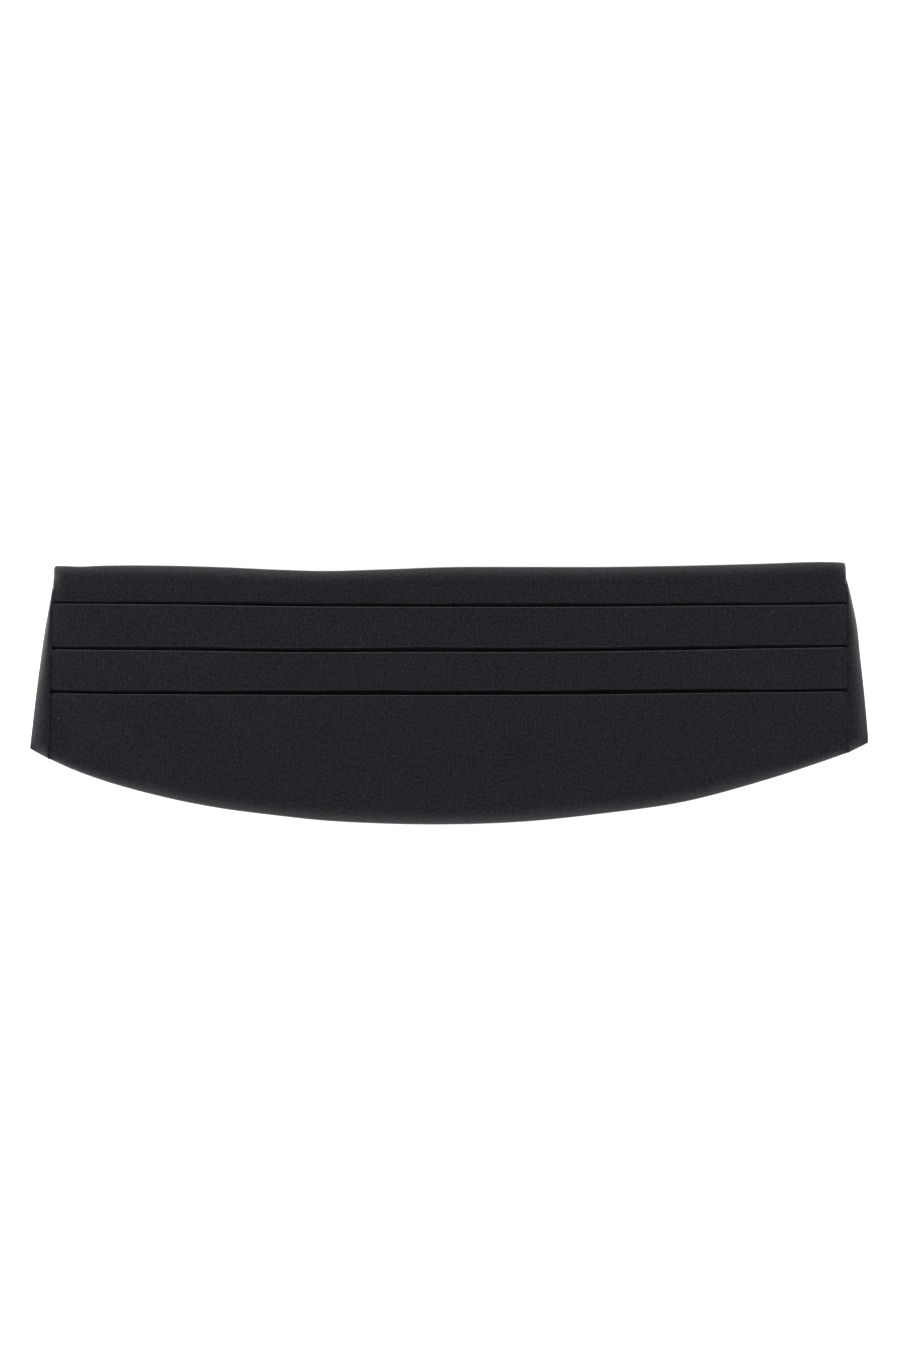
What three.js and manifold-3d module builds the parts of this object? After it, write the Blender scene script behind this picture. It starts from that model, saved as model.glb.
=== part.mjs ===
// A pleated cummerbund as it lies on a table: fastened into its waist loop, face up and pressed flat.
// The front is one cloth folded into knife pleats that open upward, with both long edges turned to the
// back. Each end is sewn to a wing, which folds back underneath along a slanting line and tapers to an
// elastic strap. The straps loop round the end bars of a plain clasp in the middle of the back.
// Millimetres. +X runs right along the front, +Y towards its top edge and +Z up from the table.
// "Down" is the distance below the front's nominal top line, so it is -Y.

import {
  Box3,
  BoxGeometry,
  BufferGeometry,
  CubicInterpolant,
  ExtrudeGeometry,
  Float32BufferAttribute,
  Group,
  MathUtils,
  Mesh,
  MeshStandardMaterial,
  Shape,
  Vector2,
  Vector3,
} from 'three';
import { mergeVertices } from 'three/addons/utils/BufferGeometryUtils.js';
import Module from 'manifold-3d';

const wasm = await Module();
wasm.setup();
const { Manifold, Mesh: CutMesh } = wasm;

// Front
const FRONT_LENGTH = 394.5; // seam to seam along the top edge
const FRONT_HEIGHT = 128.6; // nominal top line to bottom edge, at the middle
const END_LEAN = 2.9; // each end leans out by this much over the front's height
const FRONT_WALL = 1.0;
const LAYER_GAP = 0.3; // between the layers of a fold
const PLEAT_COUNT = 3;
const TOP_BAND = 19.4; // from the top line to the first pleat's edge
const BAND = 22.0; // from one pleat's edge to the next
const PLEAT_DEPTH = 9.0; // hidden under each pleat's edge
const HEM_DEPTH = 11.0;
const LEAN_SHARE = 0.5; // the share of BAND in which the outer bands keep a pleat's lean

// Wings
const WING_WALL = 1.2;
const FOLD_ROOM = 1.0; // between the two layers of a folded wing
const WING_TUCK = 10.0; // seam allowance under the front's end
const WING_TOP_DROP = 10.9; // the wing's top edge, below the front's own
const CORNER_RISE = 5.2; // the fold's lower corner, above the front's lower corner
const CORNER_REACH = 9.7; // how far that corner stands out past the seam
const FOLD_BULGE = 1.2; // how far the fold line bows outward
const FOLD_TOP_REACH = 0.7; // how far the fold's top end stands out past the seam

// Straps
const STRAP_WALL = 1.0;
const STRAP_WIDTH = 38.0;
const STRAP_DROP = 22.8; // from the front's top line to the strap's upper edge
const STRAP_FREE = 78.0; // from the wing's end to the clasp
const STRAP_LAP = 12.0; // sewn over the wing's end
const STRAP_TAIL = 12.0; // sewn back over the strap after its turn round the clasp's bar
const STEP_RUN = 8.0; // length in which a strap steps down from what it lies on

// Clasp
const CLASP_WALL = 1.6;
const CLASP_LENGTH = 34.0;
const CLASP_BAR = 5.0; // width of each end bar
const CLASP_SLOT = 4.0; // width of each slot
const CLASP_RIM = 4.0; // beside each slot's ends
const CLASP_CORNER = 4.0; // corner radius
const CLASP_BEVEL = 0.3;

// How the pieces lie on each other and on the table
const SEAT_GAP = 0.3; // between touching pieces
const SIDE_GAP = 0.8; // from a strap's edges to the ends of its slot
const SAG = 0.9; // how far the front sinks between the wings and the clasp
const CLASP_RAMP = 60.0; // length in which the front comes down beside the clasp
const DROOP_RAMP = 70.0; // length in which its long edges come down beside a wing
const TOP_DROOP = 1.6; // how far the top edge hangs down, clear of the wings
const TOP_DROOP_WIDTH = 16.0;
const BOTTOM_DROOP_WIDTH = 42.0;
const TABLE_GAP = 0.3; // from the table to the lowest part of the bottom hem

// One row for each section across the front, from the left seam to the right one. along is a share of
// half the length, topDip and pleatDip are how far the top edge and the pleats lie below their nominal
// lines as shares of BAND, and depth is where the bottom edge lies, as a share of FRONT_HEIGHT.
const FRONT_SECTIONS = [
  { along: -1.0, topDip: -0.02, pleatDip: -0.02, depth: 0.746 },
  { along: -0.9, topDip: -0.01, pleatDip: 0.0, depth: 0.809 },
  { along: -0.75, topDip: -0.03, pleatDip: 0.0, depth: 0.88 },
  { along: -0.55, topDip: 0.02, pleatDip: 0.02, depth: 0.942 },
  { along: -0.32, topDip: 0.1, pleatDip: 0.03, depth: 0.984 },
  { along: 0.0, topDip: 0.01, pleatDip: 0.02, depth: 1.0 },
  { along: 0.3, topDip: 0.01, pleatDip: 0.03, depth: 0.972 },
  { along: 0.53, topDip: -0.01, pleatDip: 0.0, depth: 0.927 },
  { along: 0.73, topDip: -0.05, pleatDip: -0.02, depth: 0.855 },
  { along: 0.88, topDip: -0.09, pleatDip: -0.03, depth: 0.782 },
  { along: 1.0, topDip: -0.1, pleatDip: -0.04, depth: 0.721 },
];

// One row for each section along a wing's back layer, from the fold to the strap. along is a share of
// its length, and taper is how much of the narrowing to the strap's width is done there.
const WING_SECTIONS = [
  { along: 0.0, taper: 0.0 },
  { along: 0.25, taper: 0.2 },
  { along: 0.5, taper: 0.48 },
  { along: 0.75, taper: 0.8 },
  { along: 1.0, taper: 1.0 },
];

// How finely the cloth is divided
const FRONT_SPANS = 18;
const PANEL_STEPS = 8;
const BAND_STEPS = 2;
const TOP_BAND_STEPS = 4;
const HEM_STEPS = 2;
const TURN_STEPS = 4;
const WING_ROWS = 6;
const WING_TURN_STEPS = 6;
const WING_BACK_STEPS = 6;
const STEP_STEPS = 4;
const CORNER_STEPS = 5;
const SMALL_SHARE = 0.01; // between the points that a fold's direction is taken from

// Sizes that follow
const LAYER = FRONT_WALL + LAYER_GAP;
const TURN_REACH = (LAYER + FRONT_WALL) / 2; // from a fold's outer face to the centre of its bend
const PLEAT_SLOPE = (2 * LAYER) / BAND; // the lean that leaves room for three layers at a pleat
const UNDER_REACH = Math.max(LAYER, PLEAT_SLOPE * PLEAT_DEPTH) + FRONT_WALL / 2;
const WING_STACK = 2 * WING_WALL + FOLD_ROOM;
const STRAP_TURN = CLASP_WALL / 2 + SEAT_GAP + STRAP_WALL / 2;
const CLASP_STACK = 2 * STRAP_TURN + STRAP_WALL;
const CLASP_HALF = CLASP_LENGTH / 2;
const WING_END = CLASP_HALF + STRAP_FREE;
const LOOP_HALF = CLASP_HALF + STEP_RUN + STRAP_TAIL;

const CLOTH = new MeshStandardMaterial({ color: 0x232226, roughness: 0.92, metalness: 0 });
const ELASTIC = new MeshStandardMaterial({ color: 0x1d1d20, roughness: 0.8, metalness: 0 });
const ENAMEL = new MeshStandardMaterial({ color: 0x151517, roughness: 0.35, metalness: 0.4 });

const { lerp, smoothstep } = MathUtils;

// Reads every column of a table at one place along it, on a smooth curve through the rows.
function readTable(table, along) {
  const columns = Object.keys(table[0]);
  const places = table.map((row) => row.along);
  const values = table.flatMap((row) => columns.map((column) => row[column]));
  const curve = new CubicInterpolant(places, values, columns.length, []);
  const found = curve.evaluate(along);
  return Object.fromEntries(columns.map((column, index) => [column, found[index]]));
}

// Points along a stretch, each with the way that the cloth's face looks there.
function run(points, from, to, steps, heightAt, facing) {
  for (let step = 0; step <= steps; step += 1) {
    const at = lerp(from, to, step / steps);
    const carriesOn = step === 0 && points.at(-1)?.at === at;
    if (!carriesOn) points.push({ at, up: heightAt(at), normalAt: 0, normalUp: facing });
  }
}

// The points of a half turn between two layers, without its ends. It bulges along at by side, and
// facing is 1 where the cloth's face is on the outside of the bend.
function turn(points, at, fromUp, toUp, side, facing, steps) {
  const middle = (fromUp + toUp) / 2;
  const radius = Math.abs(toUp - fromUp) / 2;
  for (let step = 1; step < steps; step += 1) {
    const angle = (Math.PI * step) / steps;
    const out = side * Math.sin(angle);
    const over = Math.cos(angle) * Math.sign(fromUp - toUp);
    points.push({
      at: at + radius * out,
      up: middle + radius * over,
      normalAt: facing * out,
      normalUp: facing * over,
    });
  }
}

// A closed solid from the two faces of a sheet, each a grid of as many points.
function sheetSolid(face, back) {
  const rows = face.length;
  const columns = face[0].length;
  const positions = [...face.flat(), ...back.flat()].flatMap((point) => point.toArray());
  const faceAt = (row, column) => row * columns + column;
  const backAt = (row, column) => rows * columns + faceAt(row, column);
  const index = [];
  const quad = (a, b, c, d) => index.push(a, b, c, a, c, d);
  for (let row = 0; row < rows - 1; row += 1) {
    for (let column = 0; column < columns - 1; column += 1) {
      quad(
        faceAt(row, column),
        faceAt(row, column + 1),
        faceAt(row + 1, column + 1),
        faceAt(row + 1, column),
      );
      quad(
        backAt(row, column),
        backAt(row + 1, column),
        backAt(row + 1, column + 1),
        backAt(row, column + 1),
      );
    }
  }
  const last = { row: rows - 1, column: columns - 1 };
  for (let column = 0; column < last.column; column += 1) {
    quad(faceAt(0, column + 1), faceAt(0, column), backAt(0, column), backAt(0, column + 1));
    quad(
      faceAt(last.row, column),
      faceAt(last.row, column + 1),
      backAt(last.row, column + 1),
      backAt(last.row, column),
    );
  }
  for (let row = 0; row < last.row; row += 1) {
    quad(faceAt(row, 0), faceAt(row + 1, 0), backAt(row + 1, 0), backAt(row, 0));
    quad(
      faceAt(row + 1, last.column),
      faceAt(row, last.column),
      backAt(row, last.column),
      backAt(row + 1, last.column),
    );
  }
  const geometry = new BufferGeometry();
  geometry.setAttribute('position', new Float32BufferAttribute(positions, 3));
  geometry.setIndex(facingOut(index, positions));
  geometry.computeVertexNormals();
  return geometry;
}

// The triangles turned over where they face inward, as on a mirrored piece.
function facingOut(index, positions) {
  const corner = (vertex) => new Vector3().fromArray(positions, vertex * 3);
  let volume = 0;
  for (let at = 0; at < index.length; at += 3) {
    const [a, b, c] = [corner(index[at]), corner(index[at + 1]), corner(index[at + 2])];
    volume += a.dot(b.cross(c));
  }
  return volume < 0 ? index.toReversed() : index;
}

// The front

// Half the front's length at a distance down its ends.
function halfLength(down) {
  return FRONT_LENGTH / 2 + (END_LEAN * down) / FRONT_HEIGHT;
}

// Where the front's edges and pleats lie at one place along it, as distances down.
function frontSection(along) {
  const row = readTable(FRONT_SECTIONS, along);
  const firstPleat = TOP_BAND + row.pleatDip * BAND;
  return {
    along,
    top: row.topDip * BAND,
    pleats: Array.from({ length: PLEAT_COUNT }, (_, index) => firstPleat + index * BAND),
    bottom: row.depth * FRONT_HEIGHT,
  };
}

// The height of the front's lowest layer: over the wings at its ends and over the clasp in its middle,
// and lower in between.
function frontLevel(along) {
  const x = Math.abs(along) * halfLength(0);
  const overClasp = 1 - smoothstep(x, LOOP_HALF, LOOP_HALF + CLASP_RAMP);
  const inside = halfLength(0) - WING_TUCK;
  const middle = (LOOP_HALF + inside) / 2;
  const sinking = smoothstep(x, LOOP_HALF, middle) * (1 - smoothstep(x, middle, inside));
  return lerp(WING_STACK, CLASP_STACK, overClasp) - SAG * sinking + SEAT_GAP + UNDER_REACH;
}

// How far the front hangs down near its long edges, clear of the wings.
function frontDroop(section, level, down) {
  const fromEnd = halfLength(0) * (1 - Math.abs(section.along));
  const clear = smoothstep(fromEnd, WING_TUCK, WING_TUCK + DROOP_RAMP);
  const lowest = TABLE_GAP + FRONT_WALL / 2 + LAYER;
  const nearTop = Math.max(0, 1 - (down - section.top) / TOP_DROOP_WIDTH);
  const nearBottom = Math.max(0, 1 - (section.bottom - down) / BOTTOM_DROOP_WIDTH);
  return clear * (TOP_DROOP * nearTop ** 2 + (level - lowest) * nearBottom ** 2);
}

// The height over the lowest layer of a band that goes in under a pleat's edge.
function bandHeight(down, pleat) {
  return PLEAT_SLOPE * (pleat - down);
}

// The height of the top band, which levels out above the first pleat.
function topBandHeight(down, pleat) {
  const share = Math.min(LEAN_SHARE, (pleat - down) / BAND);
  return share < 0 ? bandHeight(down, pleat) : 2 * LAYER * share * (1 - share / (2 * LEAN_SHARE));
}

// The height of the lower panel, which comes down off the last pleat and then lies level.
function panelHeight(down, pleat) {
  const share = (down - pleat) / BAND;
  if (share < LEAN_SHARE) return 2 * LAYER * (1 - share);
  const easing = 2 * (1 - LEAN_SHARE);
  return LAYER * easing * Math.max(0, 1 - (share - LEAN_SHARE) / easing) ** 2;
}

// The front's centreline at one section, from the bottom hem's free edge to the top hem's.
function frontPath(section) {
  const points = [];
  const { top, pleats, bottom } = section;
  let face = (down) => panelHeight(down, pleats.at(-1));
  const under = (heightAt) => (down) => heightAt(down) - LAYER;
  const bottomBend = bottom - TURN_REACH;
  run(points, bottom - HEM_DEPTH, bottomBend, HEM_STEPS, under(face), -1);
  turn(points, bottomBend, under(face)(bottomBend), face(bottomBend), 1, 1, TURN_STEPS);
  let from = bottomBend;
  let steps = PANEL_STEPS;
  for (const pleat of pleats.toReversed()) {
    const isTop = pleat === pleats[0];
    const band = (down) => (isTop ? topBandHeight : bandHeight)(down, pleat);
    const middle = (down) => bandHeight(down, pleat) + LAYER;
    const edge = pleat + TURN_REACH;
    const inner = pleat + PLEAT_DEPTH - TURN_REACH;
    run(points, from, edge, steps, face, 1);
    turn(points, edge, face(edge), middle(edge), -1, 1, TURN_STEPS);
    run(points, edge, inner, 1, middle, -1);
    turn(points, inner, middle(inner), band(inner), 1, -1, TURN_STEPS);
    face = band;
    from = inner;
    steps = isTop ? TOP_BAND_STEPS : BAND_STEPS;
  }
  const topBend = top + TURN_REACH;
  run(points, from, topBend, steps, face, 1);
  turn(points, topBend, face(topBend), under(face)(topBend), -1, 1, TURN_STEPS);
  run(points, topBend, top + HEM_DEPTH, HEM_STEPS, under(face), -1);
  return points;
}

// One side of the front's wall at one section: side is 1 for the cloth's face and -1 for its back.
function frontRow(section, side) {
  const level = frontLevel(section.along);
  return frontPath(section).map((point) => {
    const down = point.at + (side * point.normalAt * FRONT_WALL) / 2;
    const up = point.up + (side * point.normalUp * FRONT_WALL) / 2;
    const height = level + up - frontDroop(section, level, point.at);
    return new Vector3(section.along * halfLength(point.at), -down, height);
  });
}

function frontPanel() {
  const sections = Array.from({ length: FRONT_SPANS + 1 }, (_, index) =>
    frontSection((2 * index) / FRONT_SPANS - 1),
  );
  const face = sections.map((section) => frontRow(section, 1));
  const back = sections.map((section) => frontRow(section, -1));
  return sheetSolid(face, back);
}

// The wings

// A point of the fold's outer edge, at a share of the way from its lower corner to its top end.
function foldPoint(end, share) {
  const down = lerp(end.bottom - CORNER_RISE, end.top + WING_TOP_DROP, share);
  const reach = lerp(CORNER_REACH, FOLD_TOP_REACH, share) + 4 * FOLD_BULGE * share * (1 - share);
  return { x: halfLength(down) + reach, down };
}

// The way out of the fold, square to its edge.
function foldNormal(end, share) {
  const above = foldPoint(end, share + SMALL_SHARE);
  const below = foldPoint(end, share - SMALL_SHARE);
  const x = below.down - above.down;
  const down = above.x - below.x;
  const length = Math.hypot(x, down);
  return { x: x / length, down: down / length };
}

// The middle of a wing's wall along one row, from under the front, round the fold and back to the
// strap. Each point has the way that the cloth's face looks there.
function wingPath(end, share) {
  const points = [];
  const normal = foldNormal(end, share);
  const edge = foldPoint(end, share);
  const radius = (WING_WALL + FOLD_ROOM) / 2;
  const bend = {
    x: edge.x - (normal.x * WING_STACK) / 2,
    down: edge.down - (normal.down * WING_STACK) / 2,
  };
  const seamDown = lerp(end.bottom, end.top + WING_TOP_DROP, share);
  const seam = halfLength(seamDown);
  const upper = WING_STACK - WING_WALL / 2;
  const lower = WING_WALL / 2;
  const up = new Vector3(0, 0, 1);
  const down = new Vector3(0, 0, -1);
  points.push({ place: new Vector3(seam - WING_TUCK, -seamDown, upper), normal: up });
  const bendStart = Math.min(seam, bend.x - WING_WALL);
  points.push({ place: new Vector3(bendStart, -seamDown, upper), normal: up });
  for (let step = 0; step <= WING_TURN_STEPS; step += 1) {
    const angle = (Math.PI * step) / WING_TURN_STEPS;
    const out = Math.sin(angle);
    const over = Math.cos(angle);
    const way = new Vector3(normal.x * out, -normal.down * out, over);
    const centre = new Vector3(bend.x, -bend.down, WING_STACK / 2);
    points.push({ place: centre.addScaledVector(way, radius), normal: way });
  }
  const strapDown = lerp(STRAP_DROP + STRAP_WIDTH, STRAP_DROP, share);
  for (let step = 1; step <= WING_BACK_STEPS; step += 1) {
    const along = step / WING_BACK_STEPS;
    const { taper } = readTable(WING_SECTIONS, along);
    const x = lerp(bend.x, WING_END, along);
    const y = -lerp(bend.down, strapDown, taper);
    points.push({ place: new Vector3(x, y, lower), normal: down });
  }
  return points;
}

function wing(side) {
  const end = frontSection(side);
  const rows = Array.from({ length: WING_ROWS + 1 }, (_, index) =>
    wingPath(end, index / WING_ROWS),
  );
  const wall = (way) =>
    rows.map((row) =>
      row.map(({ place, normal }) => {
        const point = place.clone().addScaledVector(normal, (way * WING_WALL) / 2);
        return point.setX(side * point.x);
      }),
    );
  return sheetSolid(wall(1), wall(-1));
}

// The straps

// The strap's centreline from the end sewn to the wing to the end sewn back over itself. at is the
// distance from the middle of the back.
function strapPath() {
  const points = [];
  const onWing = WING_WALL + SEAT_GAP + STRAP_WALL / 2;
  const onTable = STRAP_WALL / 2;
  const onItself = onTable + STRAP_WALL + SEAT_GAP;
  const overBar = onTable + 2 * STRAP_TURN;
  const wingEnd = WING_END - SEAT_GAP;
  const barInner = CLASP_HALF - CLASP_BAR;
  const stepDown = (from, high, low, way) => (at) =>
    lerp(high, low, smoothstep((way * (at - from)) / STEP_RUN, 0, 1));
  run(points, WING_END + STRAP_LAP, wingEnd, 1, () => onWing, 1);
  run(points, wingEnd, wingEnd - STEP_RUN, STEP_STEPS, stepDown(wingEnd, onWing, onTable, -1), 1);
  run(points, wingEnd - STEP_RUN, barInner, 1, () => onTable, 1);
  turn(points, barInner, onTable, overBar, -1, -1, WING_TURN_STEPS);
  run(points, barInner, CLASP_HALF, 1, () => overBar, -1);
  const barOuter = CLASP_HALF + STEP_RUN;
  run(points, CLASP_HALF, barOuter, STEP_STEPS, stepDown(CLASP_HALF, overBar, onItself, 1), -1);
  run(points, barOuter, LOOP_HALF, 1, () => onItself, -1);
  return points;
}

function strap(side) {
  const path = strapPath();
  const edges = [STRAP_DROP, STRAP_DROP + STRAP_WIDTH];
  const wall = (way) =>
    edges.map((down) =>
      path.map((point) => {
        const at = point.at + (way * point.normalAt * STRAP_WALL) / 2;
        const up = point.up + (way * point.normalUp * STRAP_WALL) / 2;
        return new Vector3(side * at, -down, up);
      }),
    );
  return sheetSolid(wall(1), wall(-1));
}

// The clasp

// The outline of a rectangle with round corners, about the origin.
function roundedRectangle(halfX, halfY, radius) {
  const outline = [];
  for (const [sideX, sideY] of [[1, 1], [-1, 1], [-1, -1], [1, -1]]) {
    const start = Math.atan2(sideY, sideX) - Math.PI / 4;
    for (let step = 0; step <= CORNER_STEPS; step += 1) {
      const angle = start + (Math.PI / 2) * (step / CORNER_STEPS);
      const x = sideX * (halfX - radius) + radius * Math.cos(angle);
      const y = sideY * (halfY - radius) + radius * Math.sin(angle);
      outline.push(new Vector2(x, y));
    }
  }
  return new Shape(outline);
}

// A closed solid that can be cut, from a geometry.
function cuttable(geometry) {
  const bare = new BufferGeometry().setAttribute('position', geometry.getAttribute('position'));
  const merged = mergeVertices(geometry.index ? bare.setIndex(geometry.index) : bare);
  return new Manifold(new CutMesh({
    numProp: 3,
    vertProperties: merged.getAttribute('position').array,
    triVerts: merged.getIndex().array,
  }));
}

function geometryOf(solid) {
  const { vertProperties, triVerts } = solid.getMesh();
  const geometry = new BufferGeometry();
  geometry.setAttribute('position', new Float32BufferAttribute(vertProperties, 3));
  geometry.setIndex(Array.from(triVerts));
  geometry.computeVertexNormals();
  return geometry;
}

function claspSlot(side) {
  const length = STRAP_WIDTH + 2 * SIDE_GAP;
  const cutter = new BoxGeometry(CLASP_SLOT, length, 3 * CLASP_WALL);
  return cuttable(cutter.translate(side * (CLASP_HALF - CLASP_BAR - CLASP_SLOT / 2), 0, 0));
}

function clasp() {
  const halfY = STRAP_WIDTH / 2 + SIDE_GAP + CLASP_RIM;
  const plate = new ExtrudeGeometry(roundedRectangle(CLASP_HALF, halfY, CLASP_CORNER), {
    depth: CLASP_WALL - 2 * CLASP_BEVEL,
    bevelEnabled: true,
    bevelThickness: CLASP_BEVEL,
    bevelSize: CLASP_BEVEL,
    bevelOffset: -CLASP_BEVEL,
    bevelSegments: 1,
  });
  const cut = cuttable(plate).subtract(claspSlot(-1)).subtract(claspSlot(1));
  const bottom = STRAP_WALL + SEAT_GAP + CLASP_BEVEL;
  return geometryOf(cut).translate(0, -(STRAP_DROP + STRAP_WIDTH / 2), bottom);
}

function named(name, geometry, material) {
  const mesh = new Mesh(geometry, material);
  mesh.name = name;
  return mesh;
}

const group = new Group();
group.add(named('front_panel', frontPanel(), CLOTH));
for (const [name, side] of [['left', -1], ['right', 1]]) {
  group.add(named(`${name}_wing`, wing(side), CLOTH));
  group.add(named(`${name}_strap`, strap(side), ELASTIC));
}
group.add(named('clasp', clasp(), ENAMEL));

// The origin is on the table, under the middle of the whole cummerbund.
const box = new Box3().setFromObject(group);
const centre = box.getCenter(new Vector3());
group.position.set(-centre.x, -centre.y, -box.min.z);

export default group;
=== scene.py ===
"""A pleated cummerbund lying face up on a pale table, fastened into its loop and pressed flat.

The cloth pieces and the straps stand for the plain solids of the frame. Shapes are worked out in
millimetres and become metres where a mesh is made. +X runs right along the front, +Y towards its top
edge and +Z up. "Down" is the distance below the front's nominal top line, and "at" is down for the
front and the distance from the middle of the back for a strap. A size with two values has one for the
left end and one for the right, unless its comment says what they are.
"""

import math

import bpy
import numpy as np
from mathutils import Matrix, Vector


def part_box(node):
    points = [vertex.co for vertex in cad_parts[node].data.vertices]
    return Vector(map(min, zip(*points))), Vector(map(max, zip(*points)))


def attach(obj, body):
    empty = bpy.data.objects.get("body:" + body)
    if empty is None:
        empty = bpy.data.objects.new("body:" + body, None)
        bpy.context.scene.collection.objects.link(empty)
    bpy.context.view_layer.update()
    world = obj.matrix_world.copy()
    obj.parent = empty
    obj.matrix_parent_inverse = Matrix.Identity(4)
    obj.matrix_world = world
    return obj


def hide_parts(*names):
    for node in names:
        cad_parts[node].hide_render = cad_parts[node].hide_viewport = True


MM = 0.001

# Front
FRONT_LENGTH = 394.5  # seam to seam along the top edge
FRONT_HEIGHT = 128.6
END_OUT = (0.3, 1.1)  # how far each end stands out past that length
END_LEAN = (2.9, 1.3)  # and leans out further over the front's height
FRONT_WALL = 0.9
LAYER = 1.3  # from one layer of a fold to the next
PLEAT_DEPTH = 9.0  # hidden under each pleat's edge
HEM_DEPTH = 11.0
BAND_FALL = 0.25  # how far a band comes down from its own fold to the next mouth
CORNER_RADIUS = 2.0  # of the front's top corners
SEAM_WIDTH = 1.0  # the end of the front rounds down into the seam over this width
SEAM_PINCH = 0.35  # share of the layers' spacing left at the seam
SEAM_WALL = 0.5  # share of the wall left at the seam
PRESS_WIDTH = 7.0  # the pleats are pressed thinner over this width beside the seam
PRESS_SHARE = 0.8
SIDE_PRESS = 0.55  # and thinner still where the front's end curves down
EDGE_SQUARE = 0.6  # below 1 makes the folded edges squarer than round
MOUTH_MIDDLE = 60.0  # the mouths are widest up to this far from the front's middle
MOUTH_WAVER = 0.12  # share of its width that a mouth wavers by
END_HANG = 0.3  # share of the hang inside a mouth that is left at the ends
NOSE_PAINTED_SHADE = 0.1  # painted shade on the lower part of a fold's edge, which also takes its sheen away
NOSE_START = 0.4  # and starts this share of the turn down
SEAM_PAINTED_SHADE = 0.2  # painted shade on both sides of the seam
SEAM_START = 3.0  # from this far below the wing's top

# How the front lies: heights of its lowest layer over the wings, the clasp and between them
LEVEL_END = 4.1
LEVEL_MIDDLE = 6.3
LEVEL_BETWEEN = 5.3
CLASP_REACH = 37.0  # the front stays level this far from its middle, and then sinks over the next width
CLASP_RAMP = 60.0
END_RAMP = 40.0  # and changes to its height over the wings over this width at its ends
ROLL_WIDTH = 8.0  # the edges curve down to the table over this width
ROLL_CURVE = 2.5  # above 1, and the higher the more of the curve is close to the edge
ROLL_TOP = 3.7  # and come down this far, in the middle of each long edge and beside the wings
ROLL_BOTTOM = 3.6
ROLL_SIDE = 0.9
CORNER_ROLL = 3.7  # of the front's ends above the wings
CORNER_BLEND = 6.0  # which gives way to the roll beside the wings over this height
END_ROLL = 3.0  # of the bottom edge near the ends, and its width there
END_ROLL_WIDTH = 5.0
SEAM_ROLL = 1.8  # and of the bottom edge at the seam
SEAM_ROLL_WIDTH = 6.0
TOP_DROOP = 1.2  # a wider and slower curve down, added to the top edge's roll
TOP_DROOP_WIDTH = 18.0
END_DROOP = 0.3  # share of the top edge's droop that is left over the wings
BOTTOM_DROOP_WIDTH = 42.0  # of the like curve along the bottom edge
LOWEST_HEM = 5.5  # height of the face's middle at the bottom edge, clear of the wings, before it rolls
HEM_LIFT = 0.15  # the top hem stays this far above the table
SETTLE_EASE = 1.0  # and the droop there eases off over this height
PANEL_EASE = 22.0  # the panel comes down off the last fold over this width

# Wings
WING_WALL = 1.2
WING_STACK = 2.9  # both layers together where the wing is wide
WING_THIN_STACK = 2.6  # and where it is narrow
WIDE_WING = 6.0  # it is wide where its fold stands this far out
WING_TUCK = 10.0  # hidden under the front
WING_INSET = 3.0  # how much shorter the tucked edge is at each end
WING_TOP_DROP = (10.9, 8.6)  # from the front's top edge to the wing's top
CORNER_RISE = (5.0, 4.7)  # of the wing's lower corner above the front's bottom edge
CORNER_BLUNT = (0.9, 1.7)  # radius of that rounded corner
WING_PUFF = (3.6, 2.9)  # how far the wing's face stands up beside the seam
PUFF_REACH = 4.0  # once its fold stands this far out
WING_DITCH = (0.9, 0.4)  # the face comes up out of the seam over this width
WING_ARC_START = 0.15  # share of the way out to the fold where the face starts to curve down
WING_ARC_ROOM = 0.3  # and at least this far past where it comes up
WING_ROUND = 0.9  # 0.5 makes its curve an ellipse, 1 a parabola
WING_LOWEST = 1.5  # height that its face comes down to at its lower edge
WING_ROLL_WIDTH = 7.0  # over this width
WING_BEND = 2.0  # how far under the fold the back layer starts
WING_LIFT = 0.15  # the back layer's underside above the table
WING_END = 95.0  # from the middle of the back to the end of the wing

# Straps and clasp
STRAP_WALL = 1.0
STRAP_WIDTH = 38.0
STRAP_DROP = 22.8  # from the front's nominal top line to the strap's upper edge
STRAP_LIFT = 0.15  # the strap's underside above the table
STRAP_LAP = 12.0  # sewn on the wing's end
STRAP_TAIL = 12.0  # sewn back over the strap itself
STEP_RUN = 8.0  # the strap slopes from one height to another over this length
CLASP_HALF = 17.0  # from the clasp's middle to its ends
CLASP_WALL = 1.6
CLASP_BAR = 5.0  # width of its end bars
SEAT_GAP = 0.3  # between pieces that lie on each other

# One row for each section across the front, in millimetres: x, then how far down the top edge, the
# three folds and the bottom edge lie.
FRONT_SECTIONS = (
    # x, top edge, first fold, second fold, third fold, bottom edge
    (-197.5, -0.6, 18.5, 41.5, 63.3, 96.3),
    (-185.5, 0.0, 18.7, 41.7, 63.6, 101.7),
    (-174.5, -0.4, 18.8, 41.8, 63.8, 105.8),
    (-144.5, -0.5, 19.0, 42.0, 63.9, 114.5),
    (-114.5, 0.3, 19.4, 42.4, 64.1, 120.7),
    (-84.5, 1.6, 19.9, 42.9, 64.2, 124.7),
    (-64.5, 2.2, 20.1, 43.0, 64.3, 126.9),
    (-34.5, 1.5, 20.2, 42.8, 64.3, 128.6),
    (0.5, 0.3, 20.3, 42.8, 64.3, 129.1),
    (35.5, 0.2, 20.3, 42.8, 64.2, 127.8),
    (75.5, 0.2, 20.2, 42.5, 64.0, 123.7),
    (115.5, -0.4, 19.8, 41.9, 63.4, 117.9),
    (155.5, -1.4, 19.5, 41.1, 63.0, 107.2),
    (185.5, -2.3, 19.2, 40.6, 62.7, 97.4),
    (197.5, -2.2, 19.0, 40.4, 62.5, 93.2),
)

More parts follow.
